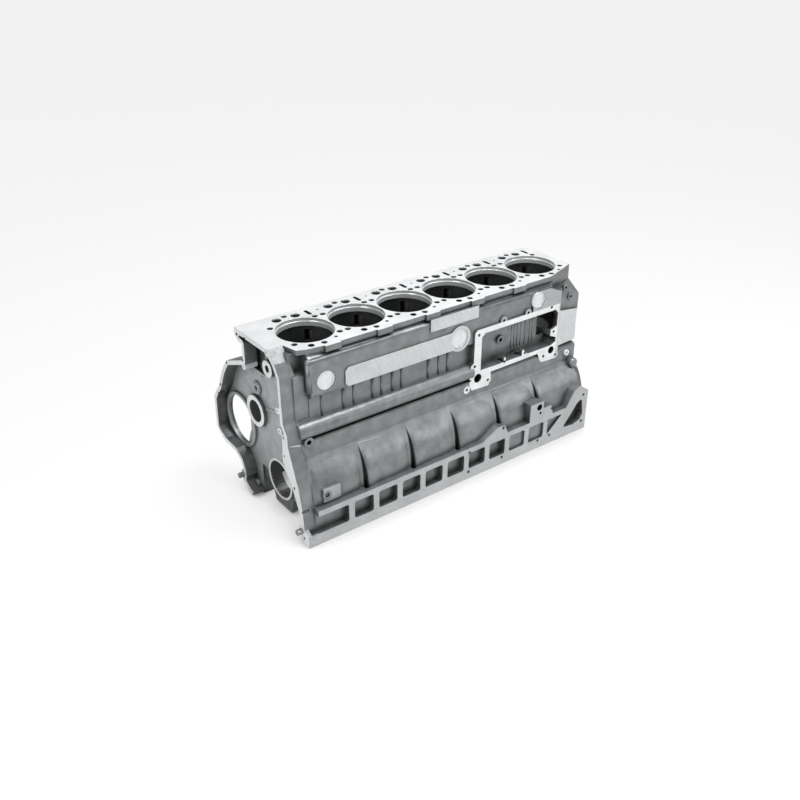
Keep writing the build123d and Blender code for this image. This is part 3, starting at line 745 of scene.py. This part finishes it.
# %% Metals for the other solids
def wear(node, material):
    """Puts a material in all of a CAD node's slots."""
    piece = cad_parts[node]
    if not piece.material_slots:
        piece.data.materials.append(material)
    for held in piece.material_slots:
        held.material = material


# The caps wear the dark bore iron, whose dark grey is painted shade.
for number in range(1, 8):
    wear(f"main_bearing_cap_{number}", painted_shade_bored)
for place in ("front", "middle", "rear"):
    wear(f"core_plug_{place}", plug_steel)
wear("camshaft_end_plug", plug_steel)
wear("gear_case_dowels", dowel_steel)
print("dressed", len(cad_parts), "solids")

# %% [markdown]
# ## Cap bolts
# Two bolts hold each bearing cap. Only their heads show, on the cap's shoulders, so each is a washer
# and a hexagon with its corners turned off, made once by a loop over the bearings.

# %% Cap bolts
bolts = bmesh.new()
shoulder = -40 * MM
washer_under = shoulder - 3 * MM
head_under = shoulder - 16 * MM
for x in bearings:
    for y in mm(-74, 74):
        rod(bolts, 15 * MM, (x, y, washer_under), (x, y, shoulder), sides=32)
        head = rod(bolts, 12.5 * MM, (x, y, head_under), (x, y, washer_under), sides=6)
        rims = {e for v in head for e in v.link_edges
                if abs(e.verts[0].co.z - e.verts[1].co.z) < MM}
        low_rims = [e for e in rims if e.verts[0].co.z < head_under + MM]
        bmesh.ops.bevel(bolts, geom=low_rims, offset=1.5 * MM, segments=2, profile=0.5,
                        affect="EDGES", material=-1)
finish_piece("cap_bolts", bolts, bolt_steel)

# %% [markdown]
# ## Swelling crankcase
# Each crank throw needs room, so the crankcase wall is a barrel that swells a little in the middle
# of each bay and is drawn in at each main bearing, where a rib stiffens it. The rib is steep on one
# flank and runs out softly on the other, as the pattern maker's fillet leaves it. Both are sections
# swept round the crankshaft axis: the sweep follows the wall exactly, which a straight extrusion
# could not.

# %% Ribs and bays of the near wall
wall = bmesh.new()
wall_fades_from = math.radians(22)
rib = [(-11.6, -5), (-11.6, 6.2), (-10, 8), (-4, 8.9), (5, 8.2), (14, 6.8)]
belly = [(28, 5.4), (48, 5.2), (72, 5.2), (96, 4.4), (112, 2.8), (123, 0.8), (129, -1.2),
         (129, -5)]
for x in bearings[1:-2]:
    sweep_round_crank(wall, section_at(x, rib + belly), wall_fades_from)

front_bay = [(-483, -5), (-483, 0.6), (-466, 2.6), (-440, 4.4), (-405, 4.6), (-370, 3.2),
             (-348, 1), (-336, -1), (-336, -5)]
sweep_round_crank(wall, front_bay, wall_fades_from)

last_bay = rib + belly[:4] + [(130, 3.2), (160, 2.4), (176, 1.2), (176, -5)]
sweep_round_crank(wall, section_at(bearings[-2], last_bay), wall_fades_from)
finish_piece("swelling_crankcase_wall", wall, sand_cast, smooth=True)

# %% [markdown]
# ## Ribs and fillets of the cooler side
# Between the long pad and the oil gallery the core left a row of thin upright ribs, and finer ones
# on the chamber's back wall. Where the wall meets its shoulder and the long pad, the pattern maker
# filled the corner with a fillet. A rod that lies half in each wall gives both.

# %% Upright ribs and fillets
upright = bmesh.new()
recess_ribs = [(-410, 3), (-345, 4), (-314, 3), (-255, 4), (-227, 3), (-191, 4), (-162, 3),
               (-71, 4), (-36, 3), (-4, 4)]
for x, radius in [mm(*place) for place in recess_ribs]:
    rod(upright, radius, (x, recess_wall, 208 * MM), (x, recess_wall, 276 * MM), sides=16)
chamber_back = -83.6 * MM
for x in mm(246, 258, 270, 283, 300, 318, 330):
    rod(upright, 2.4 * MM, (x, chamber_back, 205 * MM), (x, chamber_back, 300 * MM), sides=16)
finish_piece("upright_ribs", upright, sand_cast, smooth=True)

fillets = bmesh.new()
fillet_radius = 9.2 * MM
shoulder_line = [mm(-445, -103.5, 292), mm(-445, -103.5, 372), mm(366, -103.5, 372)]
for start, end in zip(shoulder_line, shoulder_line[1:]):
    rod(fillets, fillet_radius, start, end, sides=32)
bmesh.ops.create_uvsphere(fillets, u_segments=32, v_segments=16, radius=fillet_radius,
                          matrix=Matrix.Translation(shoulder_line[1]))
rod(fillets, 6 * MM, mm(-440, -107, 282), mm(40, -107, 282), sides=32)
finish_piece("wall_fillets", fillets, sand_cast, smooth=True)

# %% [markdown]
# ## Bosses of the cooler side
# Bolt bosses stand on the wall at the flywheel end and at the end of the gallery groove, and one of
# them is faced bright. The mounting block ends in a round corner with a sloping web. All are turned
# from a profile, as a pattern maker turns them, and let a few millimetres into the wall.

# %% Bosses
toward = (0, -1, 0)
dome = [(0, -20), (15, -20), (15, 19), (13.5, 23), (10, 25.5), (0, 26.5)]
bosses = bmesh.new()
for profile, place in [(ring_profile(6.5, 13.5, 7, root=10), mm(-464, -116, 165)),
                       (dome, mm(468, -116, 113)),
                       (ring_profile(5.5, 13, 7), mm(199, -85, 248)),
                       (ring_profile(4, 10, 5), mm(426, -111, 361)),
                       (ring_profile(4, 10, 5), mm(449, -111, 328))]:
    turned(bosses, profile, place, toward, sides=32)
finish_piece("wall_bosses", bosses, sand_cast)

mount_corner = bmesh.new()
turned(mount_corner, ring_profile(9.2, 13.6, 0.3, root=20),
       (-448.5 * MM, mount_block_face, 30 * MM), toward, sides=32)
rod(mount_corner, 7 * MM, mm(-455, -160, 44), mm(-482, -136, 78), sides=20, top_radius=4 * MM)
finish_piece("mount_block_corner", mount_corner, sand_cast)

faced = bmesh.new()
turned(faced, ring_profile(4, 9.5, 6), mm(449.7, -117, 146.8), toward, sides=32)
finish_piece("faced_boss", faced, milled)

# %% [markdown]
# ## Round corners in the rail's pockets
# The pockets of the rail were moulded, so their corners are round, and the solids have them square.
# A thin web fills each corner up to its arc. Its face is the rail's own cut metal, and its wall is
# cast, so the piece has both materials.

# %% Corners of the pockets
corners = bmesh.new()
corner_round = 7 * MM
pocket_half_length = 30.05 * MM
pocket_middle_z, pocket_half_height = -36.5, 25.55
front_y, back_y = rail_face + 0.1 * MM, rail_face + 18 * MM
arc_angles = [math.radians(step * 15) for step in range(7)]
pocket_middles = [x + side * pitch / 4 for x in cylinders for side in (-1, 1)][:10]
pocket_corners = [(middle, across, up) for middle in pocket_middles for across in (-1, 1)
                  for up in (-1, 1) if middle != pocket_middles[0] or across == 1]
for middle, across, up in pocket_corners:
    x = middle + across * pocket_half_length
    z = (pocket_middle_z + up * pocket_half_height) * MM
    arc = [(x - across * corner_round * (1 - math.sin(angle)),
            z - up * corner_round * (1 - math.cos(angle))) for angle in arc_angles]
    outline = [(x, z), *arc]
    near_side = [corners.verts.new((px, front_y, pz)) for px, pz in outline]
    far_side = [corners.verts.new((px, back_y, pz)) for px, pz in outline]
    for i in range(1, len(outline) - 1):
        corners.faces.new((near_side[0], near_side[i], near_side[i + 1]))
        corners.faces.new((near_side[i], near_side[i + 1], far_side[i + 1], far_side[i]))
rounds = finish_piece("pocket_corners", corners, ground)
rounds.data.materials.append(sand_cast)
for face in rounds.data.polygons:
    face.material_index = 0 if len(face.vertices) == 3 else 1

# %% [markdown]
# ## Gear case details
# The tray behind the gear case cover carries the camshaft, the pump drive and the idler shafts, so
# it has turned rings, ringed bosses, a few stiffening ridges and round lobes where the cover's
# bolts go into the rim.

# %% Rings, lobes and ridges of the gear case
outward = (-1, 0, 0)
lobe_height = 30
lobe_root = gear_face + 30.4 * MM
rim_lobes = [(-71, 251), (-75, 195), (-92, 185), (-90, 132), (-37, 393), (89, 307), (110, 389),
             (141, -60), (-166, -76)]
lobes = bmesh.new()
for y, z in [mm(*place) for place in rim_lobes]:
    turned(lobes, boss_profile(9.5, lobe_height, 4, 20), (lobe_root, y, z), outward)
finish_piece("rim_lobes", lobes, milled)

tray = bmesh.new()
turned(tray, boss_profile(19, 5, 6, 8), (tray_floor, *mm(87, 237)), outward, sides=32)
turned(tray, ring_profile(9, 15, 7), (tray_floor, *mm(87, 237)), outward, sides=32)
turned(tray, ring_profile(70.3, 79, 7), (tray_floor, *mm(188, 98)), outward, sides=64)
turned(tray, boss_profile(12, 12, 4, 12), (tray_floor, *mm(118, -70)), outward)
ridges = [((60, 280), (30, 214)), ((50, 190), (-70, 222)), ((60, 130), (-20, 70)),
          ((96, 122), (70, 60)), ((120, 205), (150, 250)), ((-20, 300), (-70, 262))]
ridge_radius = 9 * MM
ridge_depth = tray_floor + 6.5 * MM
for start, end in ridges:
    rod(tray, ridge_radius, (ridge_depth, *mm(*start)), (ridge_depth, *mm(*end)), sides=40)
# The tray's bosses and ridges wear the same paler iron: painted light.
finish_piece("gear_tray_bosses", tray, painted_lit_tray_cast)

rings = bmesh.new()
turned(rings, ring_profile(52.2, 59, 1.5), (tray_floor, 0, 0), outward, sides=64)
turned(rings, ring_profile(31, 44, 1.0), (tray_floor - 10 * MM, *camshaft), outward, sides=64)
turned(rings, ring_profile(10.5, 22.6, 1.0), (tray_floor - 11 * MM, *mm(9, 325)), outward,
       sides=48)
finish_piece("faced_rings", rings, milled)

# %% [markdown]
# ## Core plugs, drawn in relief
# A pressed core plug is a shallow cup: its rim stands up and its middle is stamped flat. The solids
# have a plain disc, and this adds the rolled rim that catches the light.

# %% Rims of the core plugs
cups = bmesh.new()
core_plugs = [(-401.5, 315, 26, near_wall), (24.5, 309, 28.5, pad_face),
              (314.5, 350, 25, flange_face)]
for x, z, radius, wall_y in core_plugs:
    turned(cups, ring_profile(radius - 4, radius - 0.2, 2.2),
           (x * MM, wall_y + 3 * MM, z * MM), toward, sides=48)
finish_piece("core_plug_rims", cups, plug_steel)

# %% [markdown]
# ## Floor and light
# The photograph is a plain studio shot on white. A white floor and world give that background from
# their own colour, and soft boxes light the block from above, from the right and from the left. The
# one above is the strongest, so the deck is the brightest face and the gear end stays darker. An
# occlusion term dims the floor's own glow round and under the block: a painted shadow.

# %% Floor
stage_mesh = bmesh.new()
bmesh.ops.create_grid(stage_mesh, x_segments=1, y_segments=1, size=14.0,
                      matrix=Matrix.Translation((0, 0, floor_level)))
floor = to_object("floor", stage_mesh)
paper, tree, output = new_material("white_paper")
ray = add_node(tree, "ShaderNodeLightPath")
lit = add_node(tree, "ShaderNodeBsdfDiffuse", Color=linear("#f2f2f2"))
# Painted shadow: occlusion dims the floor's glow round and under the block.
open_sky = add_node(tree, "ShaderNodeAmbientOcclusion", {"samples": 6}, Distance=150 * MM)
under = add_node(tree, "ShaderNodeMapRange", n0=open_sky.outputs["AO"], n1=0.05, n2=0.7,
                 n3=0.0, n4=1.0)
glow = add_node(tree, "ShaderNodeEmission", Color=(1.0, 1.0, 1.0, 1.0), Strength=under.outputs[0])
share = add_node(tree, "ShaderNodeMath", {"operation": "MULTIPLY"},
                 n0=ray.outputs["Is Camera Ray"], n1=0.85)
mixed = add_node(tree, "ShaderNodeMixShader", n0=share.outputs[0], n1=lit.outputs[0],
                 n2=glow.outputs[0])
tree.links.new(mixed.outputs[0], output.inputs["Surface"])
floor.data.materials.append(paper)
print("floor at", round(floor_level, 4))

# %% World
world = bpy.data.worlds.new("studio")
bpy.context.scene.world = world
world.use_nodes = True
tree = world.node_tree
tree.nodes.clear()
ray = add_node(tree, "ShaderNodeLightPath")
seen = add_node(tree, "ShaderNodeMath", {"operation": "MAXIMUM"}, n0=ray.outputs["Is Camera Ray"],
                n1=ray.outputs["Is Transmission Ray"])
strength = add_node(tree, "ShaderNodeMapRange", n0=seen.outputs[0], n3=0.27, n4=1.0)
sky = add_node(tree, "ShaderNodeBackground", Color=(1.0, 1.0, 1.0, 1.0),
               Strength=strength.outputs[0])
tree.links.new(sky.outputs[0], add_node(tree, "ShaderNodeOutputWorld").inputs["Surface"])
print("world made")


# %% Lamps
def soft_box(name, place, target, size, power):
    """A square lamp that looks at a point."""
    lamp = bpy.data.lights.new(name, "AREA")
    lamp.size = size
    lamp.energy = power
    holder = bpy.data.objects.new(name, lamp)
    bpy.context.scene.collection.objects.link(holder)
    aim = (Vector(target) - Vector(place)).to_track_quat("-Z", "Y").to_matrix().to_4x4()
    holder.matrix_world = Matrix.Translation(Vector(place)) @ aim


middle = (0.0, 0.0, 0.15)
soft_box("top_box", (0.3, -0.5, 2.5), middle, 1.1, 70)
soft_box("right_box", (1.9, -2.0, 1.2), middle, 1.4, 26)
soft_box("left_box", (-2.5, -0.9, 1.6), middle, 0.9, 36)
bpy.context.scene.view_settings.view_transform = "Standard"
print("stage set")
